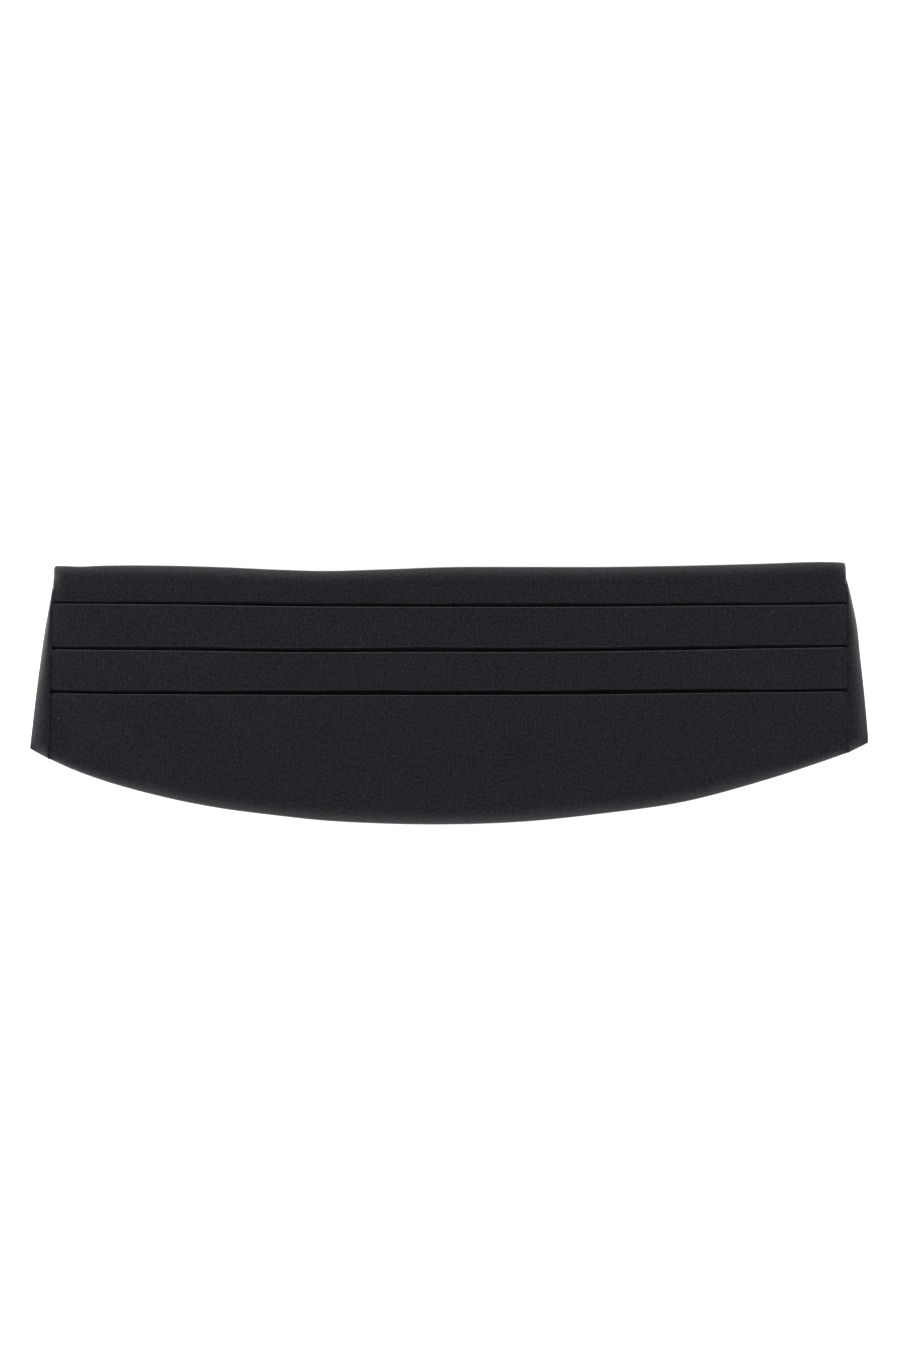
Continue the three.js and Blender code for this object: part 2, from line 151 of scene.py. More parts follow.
# One row for each fold, from the top: how wide its mouth opens at the ends and in the middle, the share
# of that width that is the flat floor of the mouth, and how far the cloth hangs down inside it.
MOUTHS = (
    # end width, middle width, floor, hang
    (2.2, 2.7, 0.15, 0.9),
    (2.3, 3.0, 0.3, 1.3),
    (2.2, 2.9, 0.45, 1.8),
)

# One row for each wave that a mouth's width wavers by: its length over two pi, how far it is shifted from
# one mouth to the next, and its height.
WAVES = (
    # length, shift, height
    (23.0, 1.7, 1.0),
    (9.1, 2.9, 0.7),
    (4.3, 4.1, 0.4),
)

# One row for each point up the folded outer edge of a wing, from its lower corner: the share of the
# way up, and how far the fold stands out past the seam on the left and on the right.
WING_FOLD = (
    # share, left, right
    (0.0, 9.6, 10.2),
    (0.25, 7.8, 8.65),
    (0.5, 5.7, 6.65),
    (0.75, 3.25, 4.55),
    (0.9, 1.35, 2.05),
    (1.0, 0.15, 0.05),
)

# One row for each section along a wing's back layer, from the fold to the strap: the share of its
# length, and how much of the narrowing to the strap's width is done there.
WING_TAPER = (
    # along, taper
    (0.0, 0.0),
    (0.25, 0.2),
    (0.5, 0.48),
    (0.75, 0.8),
    (1.0, 1.0),
)

# How finely the cloth is divided
SECTION_STEP = 1.75
END_RINGS = (0.0, 0.04, 0.13, 0.28, 0.5, 0.75, 1.0, 1.3, 1.8, 2.6, 3.6, 4.8, 6.2)
EDGE_RINGS = (0.0, 0.05, 0.15, 0.3, 0.5, 0.75, 1.0)
HEM_STEPS = 5
PANEL_STEPS = 30
PLEAT_UPPER_STEPS = 2  # along the two hidden layers of a pleat
PLEAT_LOWER_STEPS = 3
BAND_STEPS = 11
MOUTH_STEPS = 12
TURN_STEPS = 9
WING_ROWS = 34
WING_TUCK_STEPS = 5
WING_DITCH_STEPS = 9
WING_ARC_STEPS = 18
WING_TURN_STEPS = 8
WING_BACK_STEPS = 40
STRAP_STEPS = 40
STRAP_COLUMNS = 12
LAP_STEPS = 6
SLOPE_STEPS = 10
LOOP_STEPS = 14
BAR_STEPS = 4
THINNEST = 0.06  # share of a wall left at a rounded edge
SAME_PLACE = 1e-6  # points nearer than this are one point
SHORTEST_NORMAL = 1e-9  # keeps a normal from being divided by nothing

# Thread
THREAD = 0.3
STITCH_PITCH = 2.4
STITCH_LENGTH = 0.72  # share of the pitch
STITCH_INSET = 2.5  # of a row of stitches from the strap's end or its lap's
STITCH_MARGIN = (1.5, 3.0)  # from the strap's upper and lower edge
STITCH_TIP = 0.15  # the lower, the thinner are a stitch's ends
STITCH_ROUND = 0.4  # and the lower, the more suddenly it thins towards them
STITCH_RINGS = 7
STITCH_SIDES = 8

# Finishes
WOOL_COLOR = (0.0035, 0.0030, 0.0058)
WOOL_SPECULAR = 0.04
WOOL_SHEEN = 0.40
WOOL_SHEEN_ROUGHNESS = 0.5
PAINTED_SHADE_COLOR = (0.0130, 0.0120, 0.0155)  # painted shade: the wool's colour in a pleat's mouth, at the seams and under the front, without the nap's sheen
PAINTED_SHADE_CUT = 0.03  # share of painted shade from which a face takes this shaded copy of the wool
PAINTED_SHADE_LOSS = 0.75  # and how much of that colour the painted shade takes away where it is full
PAINTED_SHADE_GRAIN = 0.25  # share of the weave's unevenness that shows there
WOOL_RELIEF = 0.00005  # in metres, like all lengths in this group
TWILL_PITCH = 0.0006
TWILL_SLANT = 0.35
CROSSING_PITCH = 0.8  # share of the twill's
YARN_SIZE = (0.0008, 0.011, 1.0)  # of a grain along the cloth, across it and through it
PICK_SIZE = (0.006, 0.0009, 1.0)
NAP_SIZE = (0.0011, 0.0013, 1.0)
PATCH_SIZE = (0.05, 0.035, 1.0)
LINT_APART = 0.03
LINT_SIZE = 0.0006
LINT_SHARE = 0.4
GRAIN_MEAN = 6.5  # of the weighted sum that the wool's shade is made of
DARKEST = 0.05  # share of the wool's colour left in its darkest grain
ELASTIC_COLOR = (0.012, 0.012, 0.014)
ELASTIC_BASE = 0.5  # share of its colour that the weave leaves alone
ELASTIC_SIZE = (0.0015, 0.0006, 1.0)
ELASTIC_RELIEF = 0.00015
CORD_PITCH = 0.0026
CROSS_THREAD_PITCH = 0.0007
THREAD_COLOR = (0.014, 0.014, 0.016)
THREAD_SHADE = 0.15  # how much its twist lightens and darkens that
THREAD_RELIEF = 0.00003
TWIST_PITCH = 0.0004
ENAMEL_COLOR = (0.008, 0.008, 0.009)
ENAMEL_BASE = 0.6  # share of its colour where nothing is worn
ENAMEL_ROUGHNESS = 0.24
WEAR_ROUGHNESS = 0.18  # added where it is most worn
ENAMEL_RELIEF = 0.00002
PEEL_SIZE = (0.0012, 0.0012, 0.0012)
WEAR_SIZE = (0.004, 0.0007, 0.004)

# Floor, light and camera, with lengths in metres but for the lens
FLOOR_WHITE = 0.86
FLOOR_UNEVEN = 0.01
FLOOR_GLOW = 0.42  # light of its own, which keeps it white all over
FLOOR_HALF = 6.0
FLOOR_GRAIN = 0.2
SKY_TOP = 0.62  # brightness overhead
SKY_HORIZON = 8.0  # and at the horizon
SKY_BAND = 0.2  # how far up the brighter band reaches, as the sine of its elevation
KEY_PLACE = (-0.4, 0.5, 1.6)
KEY_SIZE = 1.2
KEY_POWER = 3.0
SIDE_OUT = 0.35  # where two small lights stand above the ends
SIDE_UP = 0.3
SIDE_AIM = 0.2  # and how far out the points lie that they are turned to
SIDE_SIZE = 0.3
SIDE_POWER = (1.1, 0.95)
LENS = 135.0  # in millimetres, like the sensor
SENSOR = 36.0
FRAME_HEIGHT = 0.675  # what the picture's height covers, at the next height above the table
FOCUS_HEIGHT = 0.004
AIM = (0.0005, 0.0089)  # the camera's place over the table, right and up


def smooth(value, low, high):
    """0 below low, 1 above high and a smooth climb in between."""
    share = np.clip((value - low) / (high - low), 0.0, 1.0)
    return share * share * (3.0 - 2.0 * share)


def mix(first, second, share):
    """The value a share of the way from first to second."""
    return first + (second - first) * share


def read_table(table, places):
    """Each column after the first at some places along the first, on a smooth curve through the rows."""
    rows = np.array(table, float)
    key, values = rows[:, 0], rows[:, 1:]
    slopes = np.gradient(values, key, axis=0)
    places = np.clip(places, key[0], key[-1])
    low = np.clip(np.searchsorted(key, places, side="right") - 1, 0, len(key) - 2)
    span = (key[low + 1] - key[low])[:, None]
    share = (places - key[low])[:, None] / span
    found = (
        values[low] * (1 + 2 * share) * (1 - share) ** 2
        + slopes[low] * span * share * (1 - share) ** 2
        + values[low + 1] * share**2 * (3 - 2 * share)
        + slopes[low + 1] * span * share**2 * (share - 1)
    )
    return found.T


def of_side(pair, side):
    """The left or the right one of two values."""
    return np.where(np.asarray(side) < 0, pair[0], pair[1])


def half_length(down, side):
    """The front's length from its middle to one end, at a distance down that end."""
    return FRONT_LENGTH / 2 + of_side(END_OUT, side) + of_side(END_LEAN, side) * down / FRONT_HEIGHT


def waver(x, seed):
    """A slow unevenness along the front, between about -1 and 1."""
    total = sum(height * np.sin(x / length + shift * seed) for length, shift, height in WAVES)
    return total / sum(height for _, _, height in WAVES)


# Meshes


def wall_faces(rows, columns):
    """The quads of a closed wall whose two faces are grids of rows by columns, one after the other."""
    grid = np.arange(rows * columns).reshape(rows, columns)
    back = grid + rows * columns
    corners = [
        (grid[:-1, :-1], grid[:-1, 1:], grid[1:, 1:], grid[1:, :-1]),
        (back[:-1, :-1], back[1:, :-1], back[1:, 1:], back[:-1, 1:]),
        (grid[0, 1:], grid[0, :-1], back[0, :-1], back[0, 1:]),
        (grid[-1, :-1], grid[-1, 1:], back[-1, 1:], back[-1, :-1]),
        (grid[:-1, 0], grid[1:, 0], back[1:, 0], back[:-1, 0]),
        (grid[1:, -1], grid[:-1, -1], back[:-1, -1], back[1:, -1]),
    ]
    return np.concatenate([np.stack(quad, axis=-1).reshape(-1, 4) for quad in corners])


def mesh_object(name, points, faces, flat_places, materials, painted_shade=None):
    """An object from points in millimetres, with each point's place on the flat cloth as its UV. The
    second material, if there is one, is a copy with painted shade, for the faces where enough shade is
    painted."""
    mesh = bpy.data.meshes.new(name)
    mesh.from_pydata((points * MM).tolist(), [], faces.tolist())
    mesh.polygons.foreach_set("use_smooth", [True] * len(mesh.polygons))
    layer = mesh.uv_layers.new(name="cloth")
    layer.uv.foreach_set("vector", (flat_places[faces.ravel()] * MM).astype(np.float32).ravel())
    shade = mesh.attributes.new("painted_shade", "FLOAT", "POINT")
    shade_amount = np.zeros(len(points)) if painted_shade is None else painted_shade
    shade.data.foreach_set("value", shade_amount.astype(np.float32))
    for material in materials:
        mesh.materials.append(material)
    # faces with enough painted shade take the shaded copy of the material
    inside = shade_amount[faces].mean(axis=1) > PAINTED_SHADE_CUT
    mesh.polygons.foreach_set("material_index", inside.astype(np.int32))
    mesh.update()
    made = bpy.data.objects.new(name, mesh)
    bpy.context.scene.collection.objects.link(made)
    return made


def outward(points, faces):
    """The faces turned over where they look inward."""
    first, second, third = (points[faces[:, corner]] for corner in range(3))
    fourth = points[faces[:, 3]]
    volume = np.einsum("ij,ij->", first, np.cross(second, third))
    volume += np.einsum("ij,ij->", first, np.cross(third, fourth))
    return faces if volume > 0 else faces[:, ::-1]


def wall_object(name, middle, half_wall, flat_places, materials, painted_shade=None):
    """A sheet of cloth from its middle surface, a grid of points, with half its wall each way."""
    rows, columns = middle.shape[:2]
    offset = grid_normals(middle) * half_wall[..., None]
    points = np.concatenate([(middle + offset).reshape(-1, 3), (middle - offset).reshape(-1, 3)])
    faces = outward(points, wall_faces(rows, columns))
    places = np.tile(flat_places.reshape(-1, 2), (2, 1))
    shade_amount = None if painted_shade is None else np.tile(painted_shade.ravel(), 2)
    return mesh_object(name, points, faces, places, materials, shade_amount)


def grid_normals(middle):
    """The unit normal at each point of a grid."""
    along = np.gradient(middle, axis=0)
    across = np.gradient(middle, axis=1)
    normal = np.cross(along, across)
    return normal / np.maximum(np.linalg.norm(normal, axis=-1, keepdims=True), SHORTEST_NORMAL)


def path_length(middle, axis):
    """The distance along a grid's rows or columns from the first point."""
    steps = np.linalg.norm(np.diff(middle, axis=axis), axis=-1)
    start = np.zeros_like(np.take(steps, [0], axis=axis))
    return np.concatenate([start, np.cumsum(steps, axis=axis)], axis=axis)


# The front


def front_places():
    """Distances along the front from its middle, closer together beside the seams."""
    half = FRONT_LENGTH / 2
    rings = np.array(END_RINGS)
    inner = half - rings[-1]
    steps = np.linspace(-inner, inner, int(2 * inner / SECTION_STEP))
    return np.concatenate([rings - half, steps[1:-1], half - rings[::-1]])


def front_level(x):
    """The height of the front's lowest layer, which sinks between the clasp and the wings."""
    side = np.abs(x)
    over_clasp = 1 - smooth(side, CLASP_REACH, CLASP_REACH + CLASP_RAMP)
    over_wing = smooth(side, FRONT_LENGTH / 2 - END_RAMP, FRONT_LENGTH / 2)
    level = mix(LEVEL_BETWEEN, LEVEL_MIDDLE, over_clasp)
    return mix(level, LEVEL_END, over_wing)


def press(x):
    """The share of the layers' spacing that is left, less beside the seams and least in them."""
    from_seam = FRONT_LENGTH / 2 - np.abs(x)
    pressed = mix(PRESS_SHARE, 1.0, smooth(from_seam, 0.0, PRESS_WIDTH))
    bend = np.clip(1 - from_seam / SEAM_WIDTH, 0.0, 1.0)
    return mix(SEAM_PINCH, pressed, np.sqrt(1 - bend**2))


def front_path(x):
    """The front's middle line at each section: distances down, heights above the lowest layer and the
    amount of painted shade at each point, full on a fold's hidden layers and fading out up its mouth.
    With them come how far down the top and bottom edges lie."""
    top, *folds, bottom = read_table(FRONT_SECTIONS, x)
    reach = (LAYER + FRONT_WALL) / 2
    zero = np.zeros_like(x)
    face, inner_face, plateau = zero + 2 * LAYER, zero + LAYER, zero + 2 * LAYER - BAND_FALL
    toward_middle = 1 - smooth(np.abs(x), MOUTH_MIDDLE, FRONT_LENGTH / 2)
    points = []

    def lay(start, end, steps, height, shade_amount=lambda down: 0 * down):
        for share in np.linspace(0.0, 1.0, steps + 1):
            down = mix(start, end, share)
            points.append((down, height(down), shade_amount(down)))

    def turn(at, from_up, to_up, side, shade_amount=0.0, end_shade_amount=0.0):
        radius, centre = (from_up - to_up) / 2, (from_up + to_up) / 2
        for angle in np.pi * np.arange(1, TURN_STEPS) / TURN_STEPS:
            out = side * np.abs(radius) * math.sin(angle) ** EDGE_SQUARE
            fall = math.copysign(abs(math.cos(angle)) ** EDGE_SQUARE, math.cos(angle))
            inside = shade_amount if angle < NOSE_START * np.pi else end_shade_amount
            points.append((at + out, centre + radius * fall, zero + inside))

    def panel(down):
        return LAYER * (1 + np.clip(1 - (down - folds[-1]) / PANEL_EASE, 0, 1) ** 2)

    bend = bottom - reach
    lay(bottom - HEM_DEPTH, bend, HEM_STEPS, lambda down: panel(down) - LAYER)
    turn(bend, panel(bend) - LAYER, panel(bend), 1)
    lay(bend, folds[-1] + reach, PANEL_STEPS, panel)
    for number in (2, 1, 0):
        fold = folds[number]
        upper = (folds[number - 1] if number else top) + reach
        end_width, middle_width, floor, hang = MOUTHS[number]
        width = mix(end_width, middle_width, toward_middle) * (1 + MOUTH_WAVER * waver(x, number))
        hang = hang * mix(END_HANG, 1.0, toward_middle)
        shoulder = fold - width
        inner = fold + PLEAT_DEPTH - reach

        def climb(down):
            return smooth(fold - down, floor * width, width)

        # painted shade: some on the lower part of the fold's edge, full on the hidden layers, fading out
        # up the mouth
        turn(fold + reach, face, inner_face, -1, 0.0, NOSE_PAINTED_SHADE)
        lay(fold + reach, inner, PLEAT_UPPER_STEPS, lambda down: inner_face)
        turn(inner, inner_face, -hang, 1, 1.0, 1.0)
        lay(inner, fold, PLEAT_LOWER_STEPS, lambda down: -hang, lambda down: zero + 1)
        lay(fold, shoulder, MOUTH_STEPS, lambda down: mix(-hang, plateau, climb(down)),
            lambda down: 1 - climb(down))
        lay(shoulder, upper, BAND_STEPS,
            lambda down: plateau + BAND_FALL * (shoulder - down) / (shoulder - upper))
    turn(top + reach, face, inner_face, -1)
    lay(top + reach, top + HEM_DEPTH, HEM_STEPS, lambda down: inner_face)
    down, up, shade_amount = (np.stack(values) for values in zip(*points))
    return down, up, shade_amount, top, bottom


def roll(distance, width):
    """How far an edge has curved down at a distance from it, from 0 to 1."""
    return np.clip(1 - distance / width, 0.0, 1.0) ** ROLL_CURVE


def wing_reach(down, side, top, bottom):
    """How far a wing's folded edge stands out past the seam at a distance down."""
    low, high = bottom - of_side(CORNER_RISE, side), top + of_side(WING_TOP_DROP, side)
    share = np.clip((low - down) / (low - high), 0.0, 1.0)
    return of_side(read_table(WING_FOLD, share.ravel()), side).reshape(share.shape)


def side_roll(x, down, top, bottom):
    """How far the front has curved down towards the wings' folded edges, from 0 to 1."""
    rolled = 0.0
    for side in (-1, 1):
        reach = wing_reach(down, side, top, bottom)
        rolled = rolled + roll(reach + half_length(down, side) - side * x, ROLL_WIDTH)
    return rolled


def edge_droop(x, down, level, top, bottom):
    """How far each point of the front has come down, by how near it is to the cummerbund's edges."""
    from_seam = FRONT_LENGTH / 2 - np.abs(x)
    clear = smooth(from_seam, WING_TUCK, WING_TUCK + END_RAMP)
    to_top, to_bottom = down - top, bottom - down
    over_top = ROLL_TOP * roll(to_top, ROLL_WIDTH)
    over_top += TOP_DROOP * mix(END_DROOP, 1.0, clear) * roll(to_top, TOP_DROOP_WIDTH)
    wing_top = of_side(WING_TOP_DROP, x)
    above_wing = 1 - smooth(to_top, wing_top - CORNER_BLEND, wing_top)
    over_side = mix(ROLL_SIDE, CORNER_ROLL, above_wing) * side_roll(x, down, top, bottom)
    beside_seam = smooth(from_seam, 0.0, SEAM_ROLL_WIDTH)
    bottom_roll = mix(SEAM_ROLL, mix(END_ROLL, ROLL_BOTTOM, clear), beside_seam)
    over_bottom = bottom_roll * roll(to_bottom, mix(END_ROLL_WIDTH, ROLL_WIDTH, clear))
    over_bottom += clear * (level + LAYER - LOWEST_HEM) * roll(to_bottom, BOTTOM_DROOP_WIDTH)
    return np.hypot(over_top, over_side) + over_bottom


def settle(droop, room):
    """The droop, which eases off where there is little room left below."""
    free = np.maximum(room - SETTLE_EASE, 0.0)
    past = np.maximum(droop - free, 0.0)
    return np.minimum(droop, free) + SETTLE_EASE * (1 - np.exp(-past / SETTLE_EASE))


def front_panel(materials):
    """The pleated front: one cloth with three folds that open upward and a hem at both long edges."""
    x = front_places()
    down, up, shade_amount, top, bottom = front_path(x)
    level = front_level(x)
    squeeze = press(x) * mix(1.0, SIDE_PRESS, side_roll(x, down, top, bottom))
    corner = np.clip(1 - (down - top) / CORNER_RADIUS, 0.0, 1.0)
    half = half_length(down, x) - CORNER_RADIUS * (1 - np.sqrt(1 - corner**2))
    place = x / (FRONT_LENGTH / 2) * half
    half_wall = FRONT_WALL / 2 * np.maximum(squeeze, SEAM_WALL) + 0 * down
    droop = edge_droop(x, down, level, top, bottom)
    near_top = down - top < HEM_DEPTH
    room = np.where(near_top, level + LAYER * squeeze - half_wall - HEM_LIFT, np.inf)
    height = level + up * squeeze - settle(droop, room)
    middle = np.stack([place, -down, height], axis=-1)
    # painted shade on the front's end at the seam, from a little below the wing's top
    seam_start = top + of_side(WING_TOP_DROP, x) + SEAM_START
    at_seam = (FRONT_LENGTH / 2 - np.abs(x) < SEAM_WIDTH) & (down > seam_start)
    shade_amount = np.maximum(shade_amount, SEAM_PAINTED_SHADE * at_seam)
    arc = path_length(middle, 0)
    flat = np.stack([place - place.min(), arc], axis=-1)
    made = wall_object("front_cloth", middle, half_wall, flat, materials, shade_amount)
    return made, float(arc[-1].mean())


# The wings


def wing_rows(end):
    """Shares of the way up a wing's folded edge, closer together at its ends, and each one's distance
    from the nearer end."""
    length = end["corner"] - end["top"]
    rings = np.array(EDGE_RINGS)
    steps = np.linspace(rings[-1], length - rings[-1], WING_ROWS)
    places = np.concatenate([rings, steps[1:-1], length - rings[::-1]])
    return places / length, np.minimum(places, length - places)


def edge_rounding(distance, wall):
    """The share of a wall's thickness at a distance from its edge, which is round."""
    inside = np.clip(1 - distance / (wall / 2), 0.0, 1.0)
    return np.maximum(np.sqrt(1 - inside**2), THINNEST)


def wing_path(end, share, side):
    """A wing's middle surface: rows up the fold, and in each row points from under the front, out to the
    fold, round it and along the back to the strap. With it comes each point's painted shade, full under
    the front and some in the seam."""
    reach = of_side(read_table(WING_FOLD, share), side)
    seam_down = mix(end["bottom"], end["top"], share)
    edge_down = mix(end["corner"], end["top"], share)
    tuck_down = mix(end["bottom"] - WING_INSET, end["top"] + WING_INSET, share)
    seam_x = half_length(seam_down, side)
    blunt = of_side(CORNER_BLUNT, side)
    from_corner = np.clip(1 - share * (end["corner"] - end["top"]) / blunt, 0.0, 1.0)
    edge_x = half_length(edge_down, side) + reach - blunt * (1 - np.sqrt(1 - from_corner**2))
    tangent = np.stack([np.gradient(edge_x, share), np.gradient(edge_down, share)])
    tangent /= np.linalg.norm(tangent, axis=0)
    inward_x, inward_down = tangent[1], -tangent[0]
    run = np.hypot(edge_x - seam_x, edge_down - seam_down)
    stack = mix(WING_THIN_STACK, WING_STACK, smooth(reach, 0.0, WIDE_WING))
    upper, centre, lower = stack - WING_WALL / 2, stack / 2, WING_LIFT + WING_WALL / 2
    puff = of_side(WING_PUFF, side) * smooth(reach, 0.0, PUFF_REACH)
    crest = np.minimum(WING_ARC_START * run, run - centre)
    start = np.minimum(0.0, crest - WING_ARC_ROOM)
    ditch = of_side(WING_DITCH, side)
    rolled = roll(share * (end["corner"] - end["top"]), WING_ROLL_WIDTH)
    points = []

    def lay(out, height):
        height = height - rolled * np.maximum(height - WING_LOWEST, 0.0)
        points.append((mix(seam_x, edge_x, out / run), mix(seam_down, edge_down, out / run), height))

    for along in np.linspace(0.0, 1.0, WING_TUCK_STEPS + 1)[:-1]:
        points.append((seam_x + mix(-WING_TUCK, start, along), mix(tuck_down, seam_down, along), upper))
    for along in np.linspace(0.0, 1.0, WING_DITCH_STEPS + 1)[:-1]:
        out = mix(start, crest, along)
        lay(out, upper + puff * smooth(out, start, start + ditch))
    for angle in np.linspace(90.0, 0.0, WING_ARC_STEPS + 1):
        out = crest + (run - crest) * math.cos(math.radians(angle))
        rise = puff * smooth(out, start, start + ditch)
        lay(out, centre + (upper - centre + rise) * math.sin(math.radians(angle)) ** (2 * WING_ROUND))
    for angle in np.linspace(0.0, 90.0, WING_TURN_STEPS + 1)[1:]:
        back = WING_BEND * (1 - math.cos(math.radians(angle)))
        height = centre - (centre - lower) * math.sin(math.radians(angle))
        points.append((edge_x + inward_x * back, edge_down + inward_down * back, height))
    bend_x, bend_down, _ = points[-1]
    strap_down = mix(STRAP_DROP + STRAP_WIDTH, STRAP_DROP, share)
    for along in np.linspace(0.0, 1.0, WING_BACK_STEPS + 1)[1:]:
        taper = read_table(WING_TAPER, np.array([along]))[0][0]
        x = mix(bend_x, WING_END, along)
        points.append((x, mix(bend_down, strap_down, taper), lower + 0 * share))
    x, down, height = (np.stack(values) for values in zip(*points))
    # painted shade: full where the wing is tucked under the front, some in the seam's ditch
    shade = np.zeros_like(x)
    shade[:WING_TUCK_STEPS] = 1.0
    shaded = (x - seam_x < ditch) & (seam_down > end["top"] + SEAM_START)
    in_ditch = slice(WING_TUCK_STEPS, WING_TUCK_STEPS + WING_DITCH_STEPS)
    shade[in_ditch] = SEAM_PAINTED_SHADE * shaded[in_ditch]
    return np.stack([side * x, -down, height], axis=-1), shade


def wing(name, side, materials):
    """A side piece: it comes out from under the front's end, folds back and tapers to the strap."""
    top, _, _, _, bottom = read_table(FRONT_SECTIONS, np.array([side * FRONT_LENGTH / 2]))[:, 0]
    end = {
        "top": top + of_side(WING_TOP_DROP, side),
        "bottom": bottom,
        "corner": bottom - of_side(CORNER_RISE, side),
    }
    share, from_edge = wing_rows(end)
    middle, shade = wing_path(end, share, side)
    half_wall = WING_WALL / 2 * edge_rounding(from_edge, WING_WALL) + 0 * middle[..., 0]
    flat = np.stack([path_length(middle, 0), path_length(middle, 1)], axis=-1)
    made = wall_object(name, middle, half_wall, flat, materials, shade)
    return made, float(flat[-1, :, 0].mean()), float(flat[:, -1, 1].max())


# The straps


def strap_path():
    """A strap's middle line from the end sewn on the wing to the end sewn back over itself: distances
    from the middle of the back, and heights."""
    on_table = STRAP_LIFT + STRAP_WALL / 2
    on_wing = WING_LIFT + WING_WALL + SEAT_GAP + STRAP_WALL / 2
    on_itself = on_table + STRAP_WALL + SEAT_GAP
    bar_turn = CLASP_WALL / 2 + SEAT_GAP + STRAP_WALL / 2
    over_bar = STRAP_WALL / 2 + 2 * bar_turn
    bar_inner = CLASP_HALF - CLASP_BAR
    points = []

    def lay(start, end, steps, height):
        for at in np.linspace(start, end, steps + 1):
            points.append((at, height(at)))

    start, end = WING_END - SEAT_GAP, WING_END - SEAT_GAP - STEP_RUN
    tail_start = CLASP_HALF + STEP_RUN
    lay(WING_END + STRAP_LAP, start, LAP_STEPS, lambda at: on_wing)
    lay(start, end, SLOPE_STEPS, lambda at: mix(on_table, on_wing, smooth(at, end, start)))
    lay(end, bar_inner, STRAP_STEPS, lambda at: on_table)
    radius, centre = (over_bar - on_table) / 2, (over_bar + on_table) / 2
    for angle in np.pi * np.arange(1, LOOP_STEPS) / LOOP_STEPS:
        points.append((bar_inner - radius * math.sin(angle), centre - radius * math.cos(angle)))
    lay(bar_inner, CLASP_HALF, BAR_STEPS, lambda at: over_bar)
    lay(
        CLASP_HALF, tail_start, SLOPE_STEPS,
        lambda at: mix(over_bar, on_itself, smooth(at, CLASP_HALF, tail_start)),
    )
    lay(tail_start, tail_start + STRAP_TAIL, LAP_STEPS, lambda at: on_itself)
    at, height = np.array(points).T
    moved = np.hypot(np.diff(at), np.diff(height)) > SAME_PLACE
    kept = np.concatenate([[True], moved])
    return at[kept], height[kept]


def strap(name, side, material):
    """An elastic strap, sewn on a wing's end and looped round one of the clasp's end bars."""
    at, height = strap_path()
    rings = np.array(EDGE_RINGS)
    steps = np.linspace(rings[-1], STRAP_WIDTH - rings[-1], STRAP_COLUMNS)
    across = np.concatenate([rings, steps[1:-1], STRAP_WIDTH - rings[::-1]])
    from_edge = np.minimum(across, STRAP_WIDTH - across)
    spread = np.ones((len(at), len(across)))
    middle = np.stack([
        side * at[:, None] * spread,
        -(STRAP_DROP + across) * spread,
        height[:, None] * spread,
    ], axis=-1)
    half_wall = STRAP_WALL / 2 * edge_rounding(from_edge, STRAP_WALL) * spread
    flat = np.stack([path_length(middle, 0), across * spread], axis=-1)
    made = wall_object(name, middle, half_wall, flat, [material])
    return made, float(flat[-1, 0, 0])


def stitch_points(start, end):
    """The points and faces of one stitch, a short thread with its ends sunk in the cloth."""
    start, end = np.array(start), np.array(end)
    along = end - start
    across = np.cross(along / np.linalg.norm(along), (0.0, 0.0, 1.0))
    points = []
    for share in np.linspace(0.0, 1.0, STITCH_RINGS):
        thick = THREAD / 2 * max(math.sin(math.pi * share), STITCH_TIP) ** STITCH_ROUND
        for angle in 2 * math.pi * np.arange(STITCH_SIDES) / STITCH_SIDES:
            place = start + along * share + across * thick * math.cos(angle)
            points.append(place + (0.0, 0.0, thick * math.sin(angle)))
    grid = np.arange(STITCH_RINGS * STITCH_SIDES).reshape(STITCH_RINGS, STITCH_SIDES)
    nearby = np.roll(grid, -1, axis=1)
    quads = np.stack([grid[:-1], nearby[:-1], nearby[1:], grid[1:]], axis=-1).reshape(-1, 4)
    return np.array(points), quads


def stitches(name, side, material):
    """Two rows of stitches through a strap's lap on the wing and two through its tail, seen below."""
    tail_end = CLASP_HALF + STEP_RUN + STRAP_TAIL
    rows = [(WING_END + inset, WING_LIFT) for inset in (STITCH_INSET, STRAP_LAP - STITCH_INSET)]
    rows += [(tail_end - inset, STRAP_LIFT) for inset in (STITCH_INSET, STRAP_TAIL - STITCH_INSET)]
    upper, lower = STRAP_DROP + STITCH_MARGIN[0], STRAP_DROP + STRAP_WIDTH - STITCH_MARGIN[1]
    points, faces = [], []
    for at, under in rows:
        for start in np.arange(upper, lower, STITCH_PITCH):
            ends = [start, start + STITCH_PITCH * STITCH_LENGTH]
            found, quads = stitch_points(*[(side * at, -down, under) for down in ends])
            faces.append(quads + sum(len(stitch) for stitch in points))
            points.append(found)
    points, faces = np.concatenate(points), np.concatenate(faces)
    return mesh_object(name, points, faces, points[:, :2], [material])


# Materials


